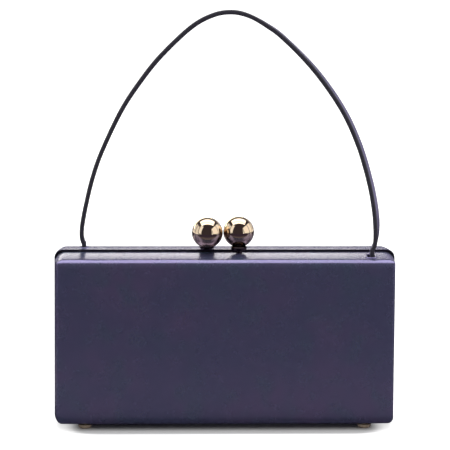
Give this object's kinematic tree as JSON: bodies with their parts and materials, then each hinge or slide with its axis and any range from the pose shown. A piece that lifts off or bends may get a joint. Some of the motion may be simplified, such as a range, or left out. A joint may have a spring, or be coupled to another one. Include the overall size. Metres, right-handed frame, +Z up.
{
  "type": "top handle bag",
  "caption": "Hard box evening bag of two leather-covered trays hinged along the bottom, with a two-ball kiss clasp on top and one flat strap handle.",
  "frame": {"origin": "on the floor under the middle of the closed bag, in the plane of the seam between the halves", "axes": "+Z up, +X to the right seen from the front, -Y out of the front face; the seam is the plane Y = 0"},
  "size_m": [0.2, 0.046, 0.2451],
  "materials": {
    "navy_leather": "smooth satin leather, dark navy with a purple cast",
    "stiff_board": "matt dark stiffener",
    "polished_gold": "mirror polished pale gold",
    "plain_brass": "satin pale gold",
    "plum_lining": "matt dark plum lining"
  },
  "bodies": {
    "back": {"back_shell": "stiff_board", "back_cover": "navy_leather", "back_rim": "plain_brass", "back_lining": "plum_lining", "back_ball": "polished_gold", "back_ball_post": "polished_gold", "back_post_nut": "plain_brass", "back_foot_left": "polished_gold", "back_foot_right": "polished_gold", "back_foot_nut_left": "plain_brass", "back_foot_nut_right": "plain_brass", "back_strap_end": "navy_leather", "back_strap_plate": "plain_brass", "back_strap_keeper": "plain_brass", "back_hinge_leaf_left": "plain_brass", "back_hinge_leaf_right": "plain_brass", "back_hinge_rivet_left_1": "plain_brass", "back_hinge_rivet_left_2": "plain_brass", "back_hinge_rivet_right_1": "plain_brass", "back_hinge_rivet_right_2": "plain_brass", "hinge_pin_left": "plain_brass", "hinge_pin_right": "plain_brass", "gusset_left": "plum_lining", "gusset_right": "plum_lining"},
    "front": {"front_shell": "stiff_board", "front_cover": "navy_leather", "front_rim": "plain_brass", "front_lining": "plum_lining", "front_ball": "polished_gold", "front_ball_post": "polished_gold", "front_post_nut": "plain_brass", "front_foot_left": "polished_gold", "front_foot_right": "polished_gold", "front_foot_nut_left": "plain_brass", "front_foot_nut_right": "plain_brass", "front_strap_end": "navy_leather", "front_strap_plate": "plain_brass", "front_strap_keeper": "plain_brass", "front_hinge_leaf_left": "plain_brass", "front_hinge_leaf_right": "plain_brass", "front_hinge_rivet_left_1": "plain_brass", "front_hinge_rivet_left_2": "plain_brass", "front_hinge_rivet_right_1": "plain_brass", "front_hinge_rivet_right_2": "plain_brass"},
    "handle": {"handle_strap": "navy_leather"}
  },
  "joints": [
    {"name": "front_open", "type": "hinge", "parent": "back", "child": "front", "pos_m": [0, 0, 0.0018], "axis": [1, 0, 0], "range_deg": [0, 36], "deforming": ["gusset_left", "gusset_right"]},
    {"name": "handle_swing", "type": "hinge", "parent": "back", "child": "handle", "pos_m": [-0.0825, 0.0115, 0.1045], "axis": [0, 0, -1], "range_deg": [0, 18]}
  ],
  "couplings": [
    {"joint": "handle_swing", "follows": "front_open", "ratio": 0.5}
  ]
}
